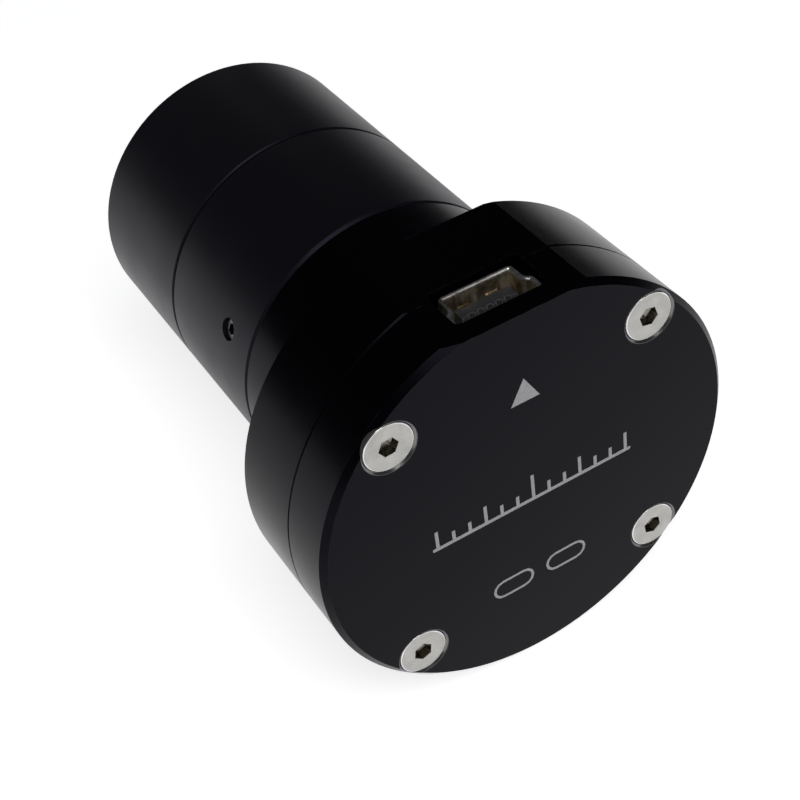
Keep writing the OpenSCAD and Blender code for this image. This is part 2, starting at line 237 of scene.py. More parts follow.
def pill(x, z, length, height, steps=6):
    """Outline of a bar with round ends, centred on x and z."""
    r = height / 2
    right = arc((x + length / 2 - r, z), r, -90, 90, steps)
    left = arc((x - length / 2 + r, z), r, 90, 270, steps)
    return right + left


def piece(name, body, materials, fill, replaced=()):
    """One new piece of the object: fill(bm) builds it in millimetres."""
    bm = bmesh.new()
    fill(bm)
    bmesh.ops.recalc_face_normals(bm, faces=bm.faces)
    bmesh.ops.scale(bm, vec=(MM, MM, MM), verts=bm.verts)
    mesh = bpy.data.meshes.new(name)
    bm.to_mesh(mesh)
    bm.free()
    mesh.shade_smooth()
    mesh.set_sharp_from_angle(angle=math.radians(SHARP_ANGLE))
    for material in materials:
        mesh.materials.append(material)
    made = bpy.data.objects.new(name, mesh)
    bpy.context.scene.collection.objects.link(made)
    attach(made, body)
    if replaced:
        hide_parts(*replaced)


# ---------------------------------------------------------------- materials

class Graph:
    """Short helper for building one procedural material."""

    def __init__(self, name):
        self.material = bpy.data.materials.new(name)
        self.material.use_nodes = True
        self.tree = self.material.node_tree
        self.shader = self.tree.nodes["Principled BSDF"]
        self.place = self.add("ShaderNodeTexCoord").outputs["Object"]

    def add(self, kind, **settings):
        node = self.tree.nodes.new(kind)
        for key, value in settings.items():
            setattr(node, key, value)
        return node

    def link(self, source, target):
        if isinstance(source, (int, float, tuple)):
            target.default_value = source
        else:
            self.tree.links.new(source, target)

    def set(self, **inputs):
        for key, value in inputs.items():
            self.link(value, self.shader.inputs[key.replace("_", " ")])

    def noise(self, per_mm, detail=3.0, rough=0.55, stretch=(1, 1, 1), offset=(0, 0, 0)):
        mapping = self.add("ShaderNodeMapping")
        mapping.inputs["Scale"].default_value = [s * per_mm / MM for s in stretch]
        mapping.inputs["Location"].default_value = offset
        self.link(self.place, mapping.inputs["Vector"])
        noise = self.add("ShaderNodeTexNoise")
        noise.inputs["Scale"].default_value = 1.0
        noise.inputs["Detail"].default_value = detail
        noise.inputs["Roughness"].default_value = rough
        self.link(mapping.outputs["Vector"], noise.inputs["Vector"])
        return noise.outputs["Fac"]

    def math(self, operation, a, b=0.0, clamp=False):
        node = self.add("ShaderNodeMath", operation=operation, use_clamp=clamp)
        self.link(a, node.inputs[0])
        self.link(b, node.inputs[1])
        return node.outputs[0]

    def spread(self, value, low, high, out_low=0.0, out_high=1.0):
        node = self.add("ShaderNodeMapRange")
        settings = (low, high, out_low, out_high)
        for key, number in zip(("From Min", "From Max", "To Min", "To Max"), settings):
            node.inputs[key].default_value = number
        self.link(value, node.inputs["Value"])
        return node.outputs["Result"]

    def mix(self, factor, a, b):
        node = self.add("ShaderNodeMix", data_type="RGBA")
        self.link(factor, node.inputs["Factor"])
        self.link(a + (1.0,) if isinstance(a, tuple) else a, node.inputs["A"])
        self.link(b + (1.0,) if isinstance(b, tuple) else b, node.inputs["B"])
        return node.outputs["Result"]

    def bump(self, height, depth_mm, normal=None):
        node = self.add("ShaderNodeBump")
        node.inputs["Distance"].default_value = depth_mm * MM
        self.link(height, node.inputs["Height"])
        if normal is not None:
            self.link(normal, node.inputs["Normal"])
        return node.outputs["Normal"]

    def edges(self, radius_mm):
        """1 on outer edges, 0 on open surfaces."""
        bevel = self.add("ShaderNodeBevel", samples=6)
        bevel.inputs["Radius"].default_value = radius_mm * MM
        plain = self.add("ShaderNodeNewGeometry").outputs["Normal"]
        dot = self.add("ShaderNodeVectorMath", operation="DOT_PRODUCT")
        self.link(bevel.outputs["Normal"], dot.inputs[0])
        self.link(plain, dot.inputs[1])
        return self.spread(dot.outputs["Value"], 0.80, 0.97, 1.0, 0.0)

    def countersinks(self):
        """1 inside the four countersinks of the rear cover, 0 elsewhere."""
        apart = self.add("ShaderNodeVectorMath", operation="ABSOLUTE")
        self.link(self.place, apart.inputs[0])
        mapping = self.add("ShaderNodeMapping")
        mapping.inputs["Scale"].default_value = (1 / MM, 0.0, 1 / MM)
        mapping.inputs["Location"].default_value = (-SCREW_OFFSET, 0.0, -SCREW_OFFSET)
        self.link(apart.outputs["Vector"], mapping.inputs["Vector"])
        length = self.add("ShaderNodeVectorMath", operation="LENGTH")
        self.link(mapping.outputs["Vector"], length.inputs[0])
        return self.spread(length.outputs["Value"], SINK_R, SINK_R + 0.02, 0.85, 0.0)

    def rings(self, center, per_mm):
        """Concentric tool marks around an axis along Y."""
        mapping = self.add("ShaderNodeMapping")
        mapping.inputs["Scale"].default_value = (1 / MM, 0.0, 1 / MM)
        mapping.inputs["Location"].default_value = (-center[0], 0.0, -center[1])
        self.link(self.place, mapping.inputs["Vector"])
        length = self.add("ShaderNodeVectorMath", operation="LENGTH")
        self.link(mapping.outputs["Vector"], length.inputs[0])
        noise = self.add("ShaderNodeTexNoise", noise_dimensions="1D")
        noise.inputs["Scale"].default_value = per_mm
        noise.inputs["Detail"].default_value = 2.0
        self.link(length.outputs["Value"], noise.inputs["W"])
        return noise.outputs["Fac"]


def darker(color, share):
    """Colour scaled by a share."""
    return tuple(c * share for c in color)


def anodised(name, base, specular, rough, grain, wear, countersunk=False):
    """Black anodised aluminium: blasted grain, cloudy roughness, handling marks, worn edges.

    A countersunk one has barer metal on the walls of the cover's four countersinks.
    """
    g = Graph(name)
    cloud = g.noise(0.12, 4.0)
    fine = g.noise(7.0, 3.0, 0.7)
    scuffs = g.spread(g.noise(0.55, 5.0, 0.65, stretch=(1, 0.3, 1), offset=(5, 2, 9)), 0.62, 0.78)
    specks = g.spread(g.noise(2.3, 1.0, offset=(3, 1, 7)), 0.76, 0.82)
    patchy = g.spread(g.noise(0.9, 3.0), 0.42, 0.68)
    worn = g.math("MULTIPLY", g.math("MULTIPLY", g.edges(0.06), patchy), wear, clamp=True)
    color = g.mix(g.math("MULTIPLY", specks, 0.03), base, (0.20, 0.20, 0.21))
    color = g.mix(worn, color, (0.30, 0.30, 0.32))
    clouded = g.spread(cloud, 0.3, 0.7, rough * 0.9, rough * 1.12)
    tone = g.math("ADD", clouded, g.math("MULTIPLY", scuffs, -0.05))
    metal = g.math("MULTIPLY", worn, 0.7)
    if countersunk:
        sink = g.countersinks()
        color = g.mix(sink, color, (0.22, 0.22, 0.21))
        metal = g.math("MAXIMUM", metal, sink)
    g.set(
        Base_Color=color,
        Metallic=metal,
        Roughness=tone,
        Specular_IOR_Level=specular,
        Specular_Tint=(0.74, 0.70, 1.0, 1.0),
        Normal=g.bump(fine, grain),
    )
    return g.material


def turned_steel(name, base, rough, center=(0.0, 0.0)):
    """Turned steel: concentric tool marks around a centre in X and Z, and smudges."""
    g = Graph(name)
    rings = g.rings(center, 9.0)
    smudge = g.noise(0.8, 4.0)
    fine = g.noise(6.0, 2.0)
    g.set(
        Base_Color=g.mix(g.spread(smudge, 0.35, 0.7), base, darker(base, 0.84)),
        Metallic=1.0,
        Roughness=g.spread(smudge, 0.3, 0.7, rough * 0.85, rough * 1.2),
        Normal=g.bump(rings, 0.004, g.bump(fine, 0.003)),
    )
    return g.material


def steel(name, base, rough):
    """Bright steel with soft smudges and a fine grain."""
    g = Graph(name)
    smudge = g.noise(0.7, 3.0)
    g.set(
        Base_Color=g.mix(g.spread(smudge, 0.35, 0.7), base, darker(base, 0.82)),
        Metallic=1.0,
        Roughness=g.spread(smudge, 0.3, 0.7, rough * 0.85, rough * 1.2),
        Normal=g.bump(g.noise(5.0, 3.0), 0.004),
    )
    return g.material


def plated(name, base, rough, stain, low=0.4, high=0.75):
    """Plated sheet metal with rolling marks and a patchy tarnish."""
    g = Graph(name)
    lines = g.noise(2.5, 3.0, stretch=(1, 1, 0.08))
    cloud = g.noise(0.8, 4.0)
    g.set(
        Base_Color=g.mix(g.spread(cloud, low, high), base, stain),
        Metallic=1.0,
        Roughness=g.spread(lines, 0.3, 0.7, rough * 0.8, rough * 1.3),
        Normal=g.bump(lines, 0.004),
    )
    return g.material


def plastic(name, base, rough, grain=0.006, per_mm=4.0, painted_edge_highlight=0.0):
    """Moulded plastic with a fine erosion texture, lighter along its edges with a painted edge highlight.
    """
    g = Graph(name)
    cloud = g.noise(0.5, 3.0)
    color = g.mix(g.spread(cloud, 0.35, 0.7), base, darker(base, 0.8))
    # painted highlight: the edges are mixed towards light grey
    if painted_edge_highlight:
        color = g.mix(g.math("MULTIPLY", g.edges(0.16), painted_edge_highlight), color, (0.55, 0.55, 0.56))
    g.set(
        Base_Color=color,
        Roughness=g.spread(cloud, 0.3, 0.7, rough * 0.9, rough * 1.15),
        Specular_IOR_Level=0.4,
        Normal=g.bump(g.noise(per_mm, 3.0), grain),
    )
    return g.material


def glass(name, tint, coat_tint, ior=1.52):
    """Coated optical glass with a faint film of dust."""
    g = Graph(name)
    film = g.noise(0.3, 3.0)
    g.set(
        Base_Color=g.mix(g.spread(film, 0.3, 0.7), tint, darker(tint, 0.96)),
        Roughness=g.spread(film, 0.4, 0.8, 0.0, 0.03),
        Transmission_Weight=1.0,
        IOR=ior,
        Specular_Tint=coat_tint + (1.0,),
        Coat_Weight=0.25,
        Coat_Roughness=0.02,
        Coat_Tint=coat_tint + (1.0,),
    )
    return g.material


def solder_mask():
    """Green solder mask: weave of the laminate under a glossy lacquer."""
    g = Graph("solder_mask")
    warp = g.noise(1.4, 1.0, stretch=(1, 1, 0.15))
    weft = g.noise(1.4, 1.0, stretch=(0.15, 1, 1), offset=(4, 0, 2))
    weave = g.math("ADD", warp, weft)
    g.set(
        Base_Color=g.mix(g.spread(weave, 0.8, 1.2), (0.004, 0.030, 0.013), (0.007, 0.048, 0.020)),
        Roughness=g.spread(g.noise(1.5), 0.3, 0.7, 0.2, 0.35),
        Coat_Weight=0.5,
        Normal=g.bump(weave, 0.008),
    )
    return g.material


def ink(name, color):
    """Screen-printed ink: slightly uneven cover with a dry, grainy surface."""
    g = Graph(name)
    cover = g.noise(3.0, 4.0, 0.7)
    g.set(
        Base_Color=g.mix(g.spread(cover, 0.4, 0.7), color, darker(color, 0.82)),
        Roughness=g.spread(cover, 0.3, 0.7, 0.55, 0.75),
        Specular_IOR_Level=0.2,
        Normal=g.bump(cover, 0.006),
    )
    return g.material


HEAD_LOOK = {
    "base": (0.0009, 0.0008, 0.0015), "specular": 0.080, "rough": 0.25, "grain": 0.003, "wear": 0.25,
}
HEAD = anodised("anodised_head", **HEAD_LOOK)
COVER = anodised("anodised_cover", countersunk=True, **HEAD_LOOK)
TUBE = anodised(
    "anodised_barrel", base=(0.0090, 0.0088, 0.0125), specular=0.13, rough=0.37, grain=0.006, wear=0.3,
)
INSIDE = anodised(
    "anodised_inside", base=(0.004, 0.004, 0.005), specular=0.10, rough=0.50, grain=0.007, wear=0.2,
)
DARK_STEEL = steel("blackened_steel", (0.16, 0.16, 0.17), rough=0.30)
STEEL = steel("bright_steel", (0.46, 0.45, 0.43), rough=0.30)
# darker, warmer steel for the hex sockets of the cover screws: painted shade in the recess
SHADED_SOCKET_STEEL = turned_steel("screw_socket_painted_shade", (0.30, 0.285, 0.24), rough=0.22)
NICKEL = plated(
    "bright_nickel", (0.90, 0.81, 0.62), rough=0.48, stain=(0.34, 0.27, 0.17), low=0.38, high=0.62,
)
CUT_EDGE = plated("cut_nickel_edge", (0.97, 0.95, 0.88), rough=0.34, stain=(0.86, 0.83, 0.76))
EDGE_STEEL = turned_steel("polished_screw_edge", (0.92, 0.91, 0.89), rough=0.18)
GOLD = plated("hard_gold", (0.86, 0.62, 0.26), rough=0.25, stain=(0.70, 0.48, 0.18))
TIN = plated("tinned_ends", (0.62, 0.62, 0.60), rough=0.34, stain=(0.48, 0.48, 0.46))
COPPER_MASK = plastic("masked_copper", (0.010, 0.075, 0.030), rough=0.25, grain=0.004)
# socket plastic with a painted highlight along its edges
SOCKET_PLASTIC = plastic("socket_plastic", (0.060, 0.060, 0.066), rough=0.38, painted_edge_highlight=0.35)
CHIP_PLASTIC = plastic("chip_plastic", (0.02, 0.02, 0.021), rough=0.5)
RESISTOR_BODY = plastic("resistor_body", (0.02, 0.02, 0.022), rough=0.4)
CAPACITOR_BODY = plastic("capacitor_body", (0.36, 0.25, 0.15), rough=0.5)
BOARD_INK = ink("board_ink", (0.70, 0.70, 0.68))
FACE_INK = ink("face_ink", (0.40, 0.40, 0.41))


def put(material, *nodes):
    """Gives CAD nodes one material."""
    for node in nodes:
        slots = NODES[node].data.materials
        slots.clear()
        slots.append(material)


def paint_nodes():
    """Materials of the CAD nodes that keep their own shape."""
    put(COVER, "rear_cover")
    put(HEAD, "front_housing")
    put(TUBE, "lens_barrel", "lens_hood")
    put(INSIDE, "front_lens_ring", "rear_lens_ring", "lens_spacer", "aperture_stop", "filter_ring")
    put(STEEL, "board_screws")
    put(CHIP_PLASTIC, "camera_processor")
    put(plastic("sensor_ceramic", (0.045, 0.045, 0.05), rough=0.5), "sensor_package")
    put(plastic("foam", (0.012, 0.012, 0.012), rough=0.9, grain=0.05, per_mm=1.5), "light_seal")
    put(plastic("nylon", (0.75, 0.72, 0.64), rough=0.45), "lock_pad")
    put(plated("silicon", (0.10, 0.11, 0.16), rough=0.12, stain=(0.14, 0.10, 0.16)), "sensor_die")
    put(solder_mask(), "circuit_board")
    put(glass("coated_glass", (0.93, 0.97, 0.95), (0.45, 0.72, 1.0)), "front_crown_lens", "rear_lens")
    put(glass("flint_glass", (0.95, 0.97, 0.94), (0.7, 0.9, 0.8), ior=1.62), "front_flint_lens")
    put(glass("cover_glass", (0.95, 0.98, 0.97), (0.8, 0.9, 1.0)), "sensor_glass")
    put(glass("infrared_cut", (0.75, 0.93, 0.93), (1.0, 0.6, 0.55)), "filter_glass")


# ------------------------------------------------------------------- screws

def hex_socket(key, face, depth):
    """Rings from the drilled bottom of a hexagon socket up to the face around its mouth."""
    soft = 0.03
    drill_tip_r, drill_cone = 0.06, 0.25 * key
    face_r = key / 2 + 0.32
    return [
        circle(drill_tip_r, face - depth - drill_cone),
        circle(0, face - depth, key),
        circle(0, face - soft, key),
        circle(0, face, key + 2 * soft),
        circle(face_r, face),
    ]


def cover_screws():
    """Four countersunk screws with rounded heads, hexagon sockets darkened with painted shade, and cut
    threads.
    """
    low, high = node_box("cover_screws")
    head_r = high.x - SCREW_OFFSET
    face, tip = -low.y, -high.y
    rim, roll, roll_steps = 0.12, 0.09, 4
    run_out, tip_length, tip_inset = 0.1, 0.4, 0.4
    turn_between = 17
    edge_look, shaded_socket_look = 1, 2
    for number, angle in enumerate(SCREW_ANGLES, 1):
        a = math.radians(angle)
        center = (SCREW_CIRCLE_R * math.cos(a), SCREW_CIRCLE_R * math.sin(a))
        place = frame_at((center[0], 0, center[1]), (0, -1, 0))
        place = place @ Matrix.Rotation(math.radians(turn_between * number), 4, "Z")
        rings = hex_socket(SCREW_KEY, face, SCREW_KEY_DEPTH)
        # the socket's drilled cone and hex walls take the darker steel: painted shade
        looks = {0: shaded_socket_look, 1: shaded_socket_look}
        looks.update({len(rings) + band: edge_look for band in range(roll_steps)})
        rings += [circle(r, h) for r, h in arc((head_r - roll, face - roll), roll, 90, 0, roll_steps)]
        neck = face - rim - (head_r - SCREW_R)
        rings.append(circle(head_r, face - rim))
        rings.append(circle(SCREW_R, neck))
        rings += thread(SCREW_R, neck - run_out, tip + tip_length, SCREW_PITCH, per_turn=6)
        rings.append(circle(SCREW_R - tip_inset, tip))
        metal = turned_steel(f"stainless_{number}", (0.44, 0.435, 0.415), rough=0.27, center=center)
        replaced = ("cover_screws",) if number == 1 else ()
        piece(
            f"cover_screw_{number}", "camera", [metal, EDGE_STEEL, SHADED_SOCKET_STEEL],
            lambda bm, rings=rings, place=place, looks=looks: loft(bm, rings, place, looks=looks),
            replaced,
        )


def lock_screw():
    """Grub screw with a hexagon socket and a thread cut over its whole length."""
    low, high = node_box("lock_screw")
    a = math.radians(LOCK_ANGLE)
    out = Vector((math.cos(a), 0, math.sin(a)))
    level = (low.y + high.y) / 2
    start, end = LOCK_INNER_END, LOCK_OUTER_END
    thread_r = LOCK_R - 0.02
    chamfer = 0.14
    tip_chamfer, dimple_r = 0.25, 0.2
    rings = hex_socket(LOCK_KEY, end, LOCK_KEY_DEPTH)
    rings += [circle(thread_r - chamfer, end), circle(thread_r, end - chamfer)]
    rings += thread(thread_r, end - chamfer - 0.01, start + tip_chamfer, LOCK_PITCH)
    rings += [circle(LOCK_R - tip_chamfer, start), circle(dimple_r, start)]
    place = frame_at((0, level, 0), out)
    piece(
        "lock_grub_screw", "lock", [DARK_STEEL],
        lambda bm: loft(bm, rings, place), ("lock_screw",),
    )


def lens_cell():
    """Tube that carries the lenses, with a fine thread cut around it."""
    low, high = node_box("lens_cell")
    start, end = low.y, high.y
    doublet_y, shoulder_y, stop_y, rear_lens_y = 39.3, 34.6, 31.5, 28.3
    ring_r, doublet_r, spacer_r, stop_r, rear_lens_r = 9.5, 9.03, 8.3, 6.8, 7.5
    chamfer = 0.3
    bore = [
        (rear_lens_r, start), (rear_lens_r, rear_lens_y),
        (stop_r, rear_lens_y), (stop_r, stop_y),
        (spacer_r, stop_y), (spacer_r, shoulder_y),
        (doublet_r, shoulder_y), (doublet_r, doublet_y),
        (ring_r, doublet_y), (ring_r, end),
    ]
    rings = [circle(r, h, count=CELL_SEGMENTS) for r, h in bore]
    rings.append(circle(CELL_R - chamfer, end, count=CELL_SEGMENTS))
    rings += reversed(thread(CELL_R, start + chamfer, end - 0.05, CELL_PITCH, count=CELL_SEGMENTS))
    rings.append(circle(CELL_R - chamfer, start, count=CELL_SEGMENTS))
    place = frame_at((0, 0, 0), (0, 1, 0))
    piece(
        "threaded_lens_cell", "focus_hood", [INSIDE],
        lambda bm: loft(bm, rings, place, closed=True), ("lens_cell",),
    )


# --------------------------------------------------------------- USB socket

def socket_outline(inset, near, far):
    """Outline of the socket shell in X and Y: wide at the near side, narrow at the far side."""
    wide, side_height = USB_W / 2, 1.5
    wide_corner, narrow_corner = 0.8, 0.45
    bend_in, bend_out, bend = 0.5, 0.6, 60
    low = arc((wide - wide_corner, near + wide_corner), wide_corner - inset, -90, 0, 8)
    bulge_center = (wide - bend_in, near + side_height)
    reach = bend_in + bend_out
    hollow_center = (
        bulge_center[0] + reach * math.cos(math.radians(bend)),
        bulge_center[1] + reach * math.sin(math.radians(bend)),
    )
    bulge = arc(bulge_center, bend_in - inset, 0, bend, 6)
    hollow = arc(hollow_center, bend_out + inset, 180 + bend, 180, 6)
    narrow = hollow_center[0] - bend_out
    high = arc((narrow - narrow_corner, far - narrow_corner), narrow_corner - inset, 0, 90, 6)
    right = low + bulge + hollow + high
    return right + [(-x, y) for x, y in reversed(right)]


def usb_shell(near, far, tail, mouth):
    """Stamped shell with a rolled mouth, solder tabs and two spring fingers."""
    def ring(inset, z):
        return [(x, y, z) for x, y in socket_outline(inset, near, far)]

    def shell(bm):
        sharp, sharp_steps = 0.04, 3
        rolled, rolled_steps = 0.26, 5
        rim_look = 1
        outer = arc((sharp, mouth - sharp), sharp, 180, 90, sharp_steps)
        inner = arc((USB_WALL - rolled, mouth - rolled), rolled, 90, 0, rolled_steps)
        rings = [ring(0.0, tail), *[ring(r, z) for r, z in outer + inner], ring(USB_WALL, tail)]
        rim_bands = range(1, len(rings) - 2)
        loft(bm, rings, closed=True, looks={band: rim_look for band in rim_bands})
        tab_inner, tab_outer = USB_W / 2 - 0.9, USB_W / 2 + 0.28
        tab_thick, tab_half = 0.2, 0.6
        for z in (tail + 1.7, tail + 4.9):
            for side in (-1, 1):
                left, right = sorted((side * tab_inner, side * tab_outer))
                block(bm, (left, far - tab_thick, z - tab_half), (right, far, z + tab_half), 0.05)

    def fingers(bm):
        wall = far - USB_WALL + 0.08
        below_mouth = (4.7, 4.0, 3.0, 2.2, 1.9, 1.4)
        bulge = (-0.06, 0.0, 0.16, 0.28, 0.27, 0.10)
        for x in (-1.25, 1.25):
            path = [(x, wall - out, mouth - down) for down, out in zip(below_mouth, bulge)]
            strip(bm, path, 1.0, 0.14, (1, 0, 0))

    piece("usb_stamped_shell", "camera", [NICKEL, CUT_EDGE], shell, ("usb_shell",))
    piece("usb_spring_fingers", "camera", [NICKEL], fingers)


def usb_tongue(near, far, tail, tongue_low, tip):
    """Plastic body of the socket with its comb-shaped tongue."""
    tongue_high, base_top = near + 3.0, tail + 3.4
    half, groove, groove_depth = 2.45, 0.21, 0.24
    fit, sunk = 0.03, 0.5

    def comb(inset):
        """Outline of the tongue with one groove for each contact on its near side."""
        low, high = tongue_low + inset, tongue_high - inset
        floor = tongue_low + groove_depth
        left, right = -half + inset, half - inset
        points = [(left, low)]
        for x in CONTACT_X:
            points += [(x - groove, low), (x - groove, floor), (x + groove, floor), (x + groove, low)]
        points += [(right, low), (right, high), (left, high)]
        return points

    def insulator(bm):
        base = socket_outline(USB_WALL + fit, near, far)
        loft(bm, [[(x, y, z) for x, y in base] for z in (base_top, tail + 0.1)])
        sides = [(0.0, base_top - sunk), (0.0, tip - 0.14), (0.05, tip - 0.04), (0.13, tip)]
        loft(bm, [[(x, y, z) for x, y in comb(inset)] for inset, z in sides])

    piece("usb_tongue", "camera", [SOCKET_PLASTIC], insulator, ("usb_insulator",))


def usb_contacts(tail, tongue_low, tip):
    """Five bent contact springs, from the tongue down to their feet on the board."""
    foot = node_box("usb_contacts")[0].z
    thick = 0.16
    tail_z = tail - 0.64
    pad_y = BOARD_Y - 0.09

    def contacts(bm):
        for x in CONTACT_X:
            y = tongue_low + 0.09
            path = [(x, y + 0.14, tip - 0.5), (x, y, tip - 0.66)]
            path += [(x, y - 0.05, tip - 1.8), (x, y, tip - 3.0)]
            path += [(x, y, tail - 0.5), (x, y + 0.14, tail_z)]
            path += [(x, BOARD_Y - 0.25, tail_z), (x, pad_y, tail_z - 0.14), (x, pad_y, foot)]
            strip(bm, path, CONTACT_W, thick, (1, 0, 0))

    piece("usb_contact_springs", "camera", [GOLD], contacts, ("usb_contacts",))


def usb_socket():
    """Mini USB socket: shell, tongue and contacts."""
    low, high = node_box("usb_shell")
    tongue_low = low.y + 1.75
    tip = node_box("usb_insulator")[1].z
    usb_shell(low.y, high.y, low.z, high.z)
    usb_tongue(low.y, high.y, low.z, tongue_low, tip)
    usb_contacts(low.z, tongue_low, tip)


# -------------------------------------------------------------- electronics

METAL = 1
LEAD_THICK = 0.12


def gull_wing(bm, side_x, z, toward, top, reach, width):
    """One bent lead from the side of a chip body down to the board."""
    away = (-0.1, 0.18, 0.3, 0.38, 0.46, reach)
    above = (top, top, top - 0.08, 0.16, 0.08, 0.08)
    path = [(side_x + toward * out, BOARD_Y - up, z) for out, up in zip(away, above)]
    strip(bm, path, width, LEAD_THICK, (0, 0, 1), METAL)


def leaded_chip(name, node, body_w, body_h, height, lead_rows, width, reach):
    """Moulded chip with gull-wing leads on both sides."""
    low, high = node_box(node)
    center = (low + high) / 2

    def fill(bm):
        half_w, half_h = body_w / 2, body_h / 2
        lowest = (center.x - half_w, BOARD_Y - height, center.z - half_h)
        highest = (center.x + half_w, BOARD_Y - 0.12, center.z + half_h)
        block(bm, lowest, highest, bevel=0.07, draft=0.08)
        for toward, offsets in lead_rows:
            side_x = center.x + toward * half_w
            for z in offsets:
                gull_wing(bm, side_x, center.z + z, toward, height / 2, reach, width)

    piece(name, "camera", [CHIP_PLASTIC, TIN], fill, (node,))


def chip_part(bm, x, z, length, width, height, upright):
    """Chip capacitor or resistor: body with a metal cap over each end."""
    half_x, half_z = (width / 2, length / 2) if upright else (length / 2, width / 2)
    axis = 2 if upright else 0
    cap = length * 0.22
    plating = Vector((0.02, 0.02, 0.02))
    lowest = Vector((x - half_x, BOARD_Y - height, z - half_z))
    highest = Vector((x + half_x, BOARD_Y, z + half_z))
    block(bm, lowest + plating, highest - plating, bevel=0.03)
    for side in (-1, 1):
        low, high = lowest.copy(), highest.copy()
        if side < 0:
            high[axis] = low[axis] + cap
        else:
            low[axis] = high[axis] - cap
        block(bm, low, high, bevel=0.07, material=METAL)


def electronics():
    """Detailed parts on the rear side of the board."""
    memory_pitch, regulator_pitch = 1.27, 0.95
    memory_leads = [(i - 1.5) * memory_pitch for i in range(4)]
    leaded_chip(
        "flash_memory_chip", "flash_memory", body_w=3.9, body_h=4.9, height=1.4,
        lead_rows=[(-1, memory_leads), (1, memory_leads)], width=0.42, reach=0.8,
    )
    leaded_chip(
        "voltage_regulator_chip", "voltage_regulator", body_w=1.6, body_h=2.9, height=1.1,
        lead_rows=[
            (-1, (-regulator_pitch, 0.0, regulator_pitch)), (1, (-regulator_pitch, regulator_pitch)),
        ],
        width=0.35, reach=0.5,
    )

    small = {"length": 1.6, "width": 1.0, "height": 0.8}
    large = {"length": 2.0, "width": 1.25, "height": 1.0}
    resistor = {"length": 1.6, "width": 0.8, "height": 0.45}

    def capacitors(bm):
        for i in range(4):
            chip_part(bm, -9.6, -4.4 + i * 2.1, upright=True, **small)
        for i in range(3):
            chip_part(bm, -2.2 + i * 2.2, -7.6, upright=False, **small)
        chip_part(bm, 7.4, 1.0, upright=False, **large)

    def resistors(bm):
        for i in range(4):
            chip_part(bm, 9.8, -5.0 + i * 1.7, upright=False, **resistor)
        for i in range(3):
            chip_part(bm, -6.6 + i * 2.2, -9.6, upright=False, **resistor)

    piece("chip_capacitors", "camera", [CAPACITOR_BODY, TIN], capacitors, ("capacitors",))
    piece("chip_resistors", "camera", [RESISTOR_BODY, TIN], resistors, ("resistors",))

    crystal_low, crystal_high = node_box("clock_crystal")

    def crystal(bm):
        base_top, can_bottom = Vector((0, 0.45, 0)), Vector((0, 0.3, 0))
        inset = Vector((0.16, 0, 0.16))
        block(bm, crystal_low + base_top, crystal_high, bevel=0.05, material=1)
        block(bm, crystal_low + inset, crystal_high - can_bottom - inset, bevel=0.12)

    piece("crystal_can", "camera", [STEEL, SOCKET_PLASTIC], crystal, ("clock_crystal",))


def board_tracks():
    """Copper tracks under the mask, and four tinned test pads."""
    routes = [
        [(-0.6, -0.6), (1.6, -0.6), (2.6, -1.5), (2.9, -1.5)],
        [(-0.6, -1.4), (1.2, -1.4), (2.4, -2.76), (2.9, -2.76)],
        [(-0.6, -2.2), (0.8, -2.2), (2.2, -4.03), (2.9, -4.03)],
        [(-0.6, -3.0), (0.4, -3.0), (2.4, -5.3), (2.9, -5.3)],
        [(-1.6, 1.8), (-1.6, 6.6), (-0.8, 7.4), (-0.8, 8.0)],
        [(-2.4, 1.8), (-2.4, 6.8), (-1.6, 7.6), (-1.6, 8.0)],
        [(-3.4, 1.8), (-3.4, 3.6), (-5.6, 5.2), (-6.0, 5.2)],
        [(-4.4, 1.8), (-4.4, 3.0), (-5.6, 4.25), (-6.0, 4.25)],
        [(-7.8, -0.6), (-8.6, -0.6), (-9.2, -0.4), (-9.6, -0.6)],
        [(-2.8, -5.4), (-2.8, -6.4), (-2.9, -7.6)],
        [(-5.0, -5.4), (-5.0, -7.8), (-5.0, -9.6)],
        [(0.0, 0.6), (1.0, 1.6), (1.7, 2.4), (2.0, 2.6)],
        [(7.8, -1.5), (8.4, -1.7), (9.0, -1.7)],
        [(7.8, -4.03), (8.4, -3.5), (9.0, -3.3)],
    ]
    track_w, track_thick = 0.22, 0.05
    hole_r, pad_r, pad_top, pad_sunk = 0.16, 0.3, 0.04, -0.02
    corners = [(hole_r, pad_top), (pad_r, pad_top), (pad_r, pad_sunk), (hole_r, pad_sunk)]

    def tracks(bm):
        for route in routes:
            path = [(x, BOARD_Y - 0.015, z) for x, z in route]
            strip(bm, path, track_w, track_thick, (0.7, 0, 0.7))
        for x in (-0.6, 0.4, 1.4, 6.9):
            place = frame_at((x, BOARD_Y, 4.6), (0, -1, 0))
            rings = [circle(r, h, count=16) for r, h in corners]
            loft(bm, rings, place, METAL, closed=True)

    piece("board_tracks", "camera", [COPPER_MASK, TIN], tracks)


def processor_pads():
    """Ten tinned pads along each side of the processor."""
    low, high = node_box("camera_processor")
    middle = (low + high) / 2
    pitch, reach, long, wide, tall = 0.62, 3.56, 0.16, 0.13, 0.22

    def pad(bm, x, z, half_x, half_z):
        block(bm, (x - half_x, BOARD_Y - tall, z - half_z), (x + half_x, BOARD_Y, z + half_z), bevel=0.03)

    def pads(bm):
        for side in (-1, 1):
            for i in range(10):
                offset = (i - 4.5) * pitch
                pad(bm, middle.x + side * reach, middle.z + offset, long, wide)
                pad(bm, middle.x + offset, middle.z + side * reach, wide, long)

    piece("processor_pads", "camera", [TIN], pads)


